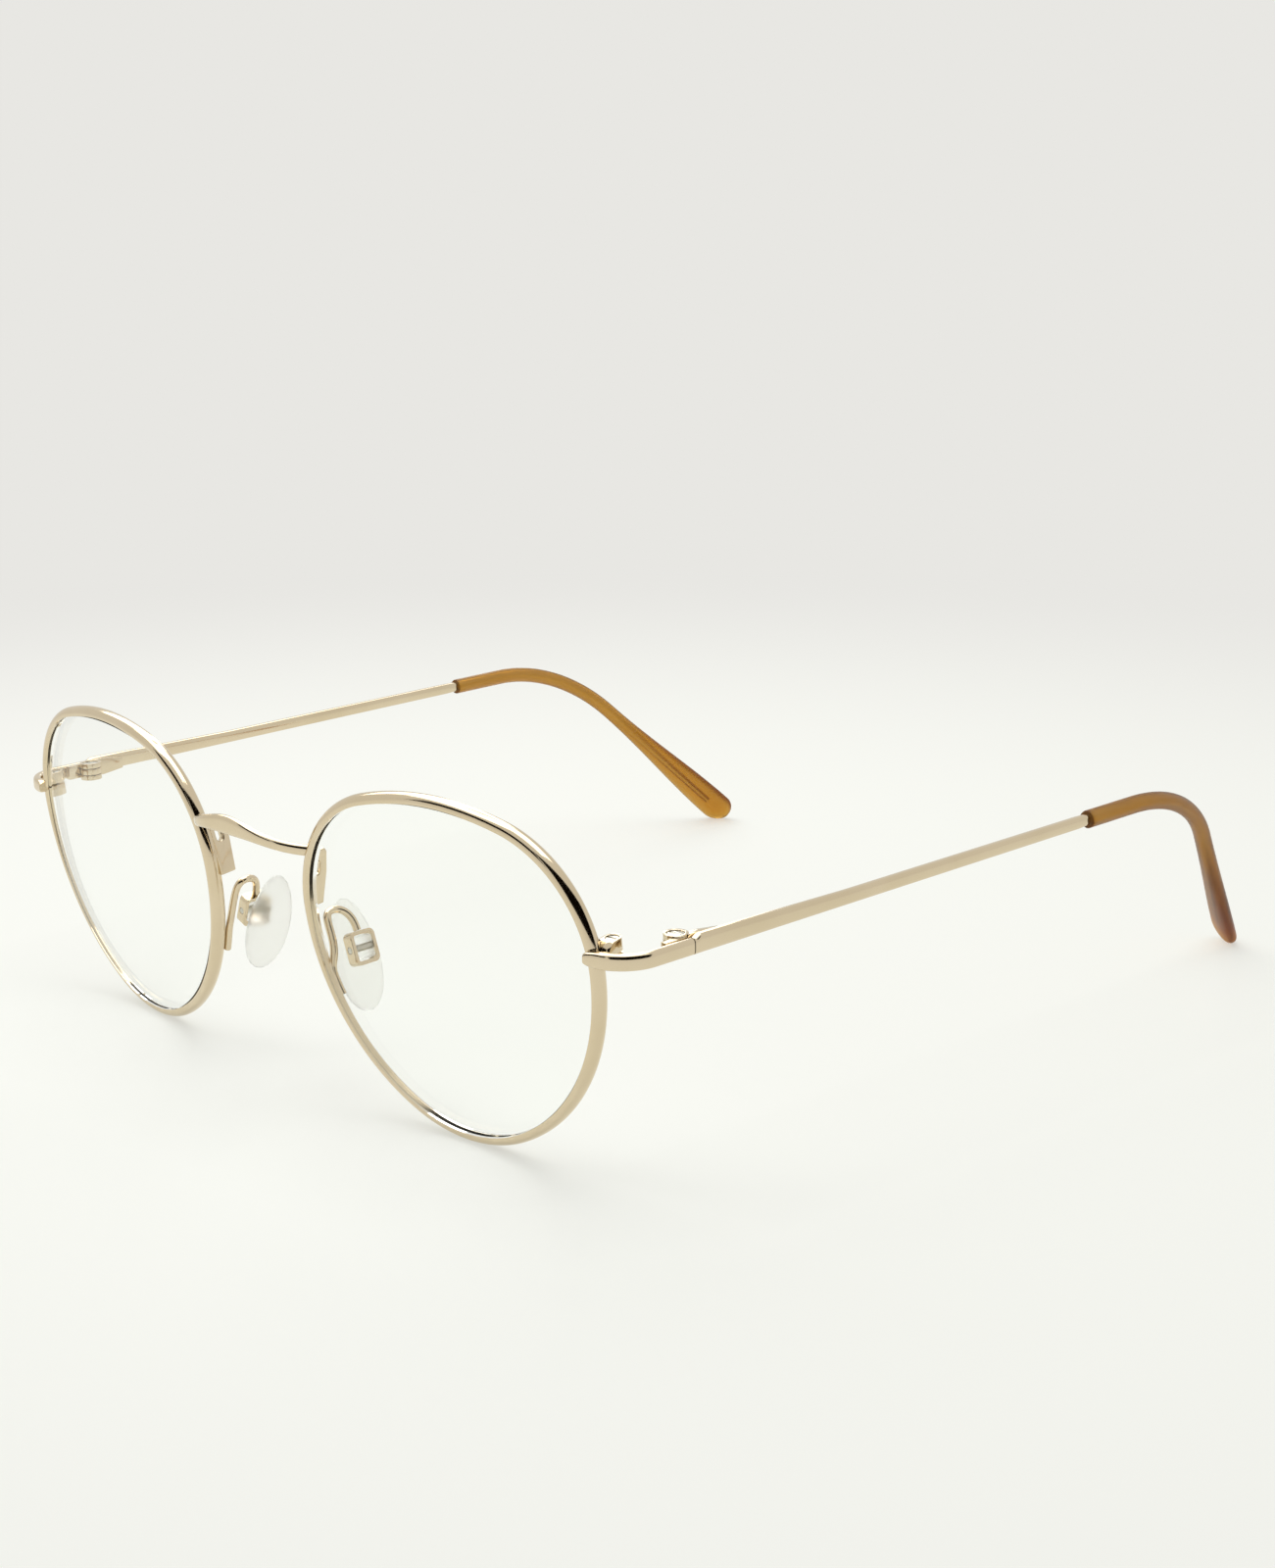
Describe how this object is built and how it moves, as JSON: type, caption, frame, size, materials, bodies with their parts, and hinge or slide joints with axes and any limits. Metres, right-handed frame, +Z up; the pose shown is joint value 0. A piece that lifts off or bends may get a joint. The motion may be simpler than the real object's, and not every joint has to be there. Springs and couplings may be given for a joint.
{
  "type": "eyeglasses",
  "caption": "Round metal eyeglasses lying open, with grooved rims, clear lenses, an arched bridge, rocking nose pads and hinged temples that fold and end in amber ear tips.",
  "frame": {"origin": "centre of the open frame's footprint, on the table", "axes": "+X to the wearer's left, +Y from the front of the frame back to the ear tips, +Z up"},
  "size_m": [0.1352, 0.1531, 0.0452],
  "materials": {
    "gold_plating": "polished pale gold plating",
    "screw_steel": "bright",
    "clear_lens": "clear, polished",
    "clear_pad": "clear soft silicone",
    "amber_tip": "translucent amber, glossy"
  },
  "bodies": {
    "front": {"left_rim": "gold_plating", "right_rim": "gold_plating", "left_lens": "clear_lens", "right_lens": "clear_lens", "bridge": "gold_plating", "left_upper_block": "gold_plating", "right_upper_block": "gold_plating", "left_lower_block": "gold_plating", "right_lower_block": "gold_plating", "left_rim_screw": "screw_steel", "right_rim_screw": "screw_steel", "left_endpiece": "gold_plating", "right_endpiece": "gold_plating", "left_front_hinge": "gold_plating", "right_front_hinge": "gold_plating", "left_hinge_screw": "screw_steel", "right_hinge_screw": "screw_steel", "left_pad_arm": "gold_plating", "right_pad_arm": "gold_plating", "left_pad_box": "gold_plating", "right_pad_box": "gold_plating", "left_pad_screw": "screw_steel", "right_pad_screw": "screw_steel"},
    "left_temple_body": {"left_temple": "gold_plating", "left_temple_hinge": "gold_plating", "left_temple_tip": "amber_tip"},
    "right_temple_body": {"right_temple": "gold_plating", "right_temple_hinge": "gold_plating", "right_temple_tip": "amber_tip"},
    "left_pad_body": {"left_nose_pad": "clear_pad"},
    "right_pad_body": {"right_nose_pad": "clear_pad"}
  },
  "joints": [
    {"name": "left_temple_fold", "type": "hinge", "parent": "front", "child": "left_temple_body", "pos_m": [0.06169, -0.05734, 0.02995], "axis": [0.0032, -0.0266, 0.9996], "range_deg": [0, 82]},
    {"name": "right_temple_fold", "type": "hinge", "parent": "front", "child": "right_temple_body", "pos_m": [-0.06169, -0.05734, 0.02995], "axis": [0.0032, 0.0266, -0.9996], "range_deg": [0, 90]},
    {"name": "left_pad_rock", "type": "hinge", "parent": "front", "child": "left_pad_body", "pos_m": [0.01219, -0.0639, 0.01994], "axis": [-0.0287, 0.9993, 0.0248], "range_deg": [-6, 6]},
    {"name": "right_pad_rock", "type": "hinge", "parent": "front", "child": "right_pad_body", "pos_m": [-0.01219, -0.0639, 0.01994], "axis": [-0.0287, -0.9993, -0.0248], "range_deg": [-6, 6]}
  ]
}
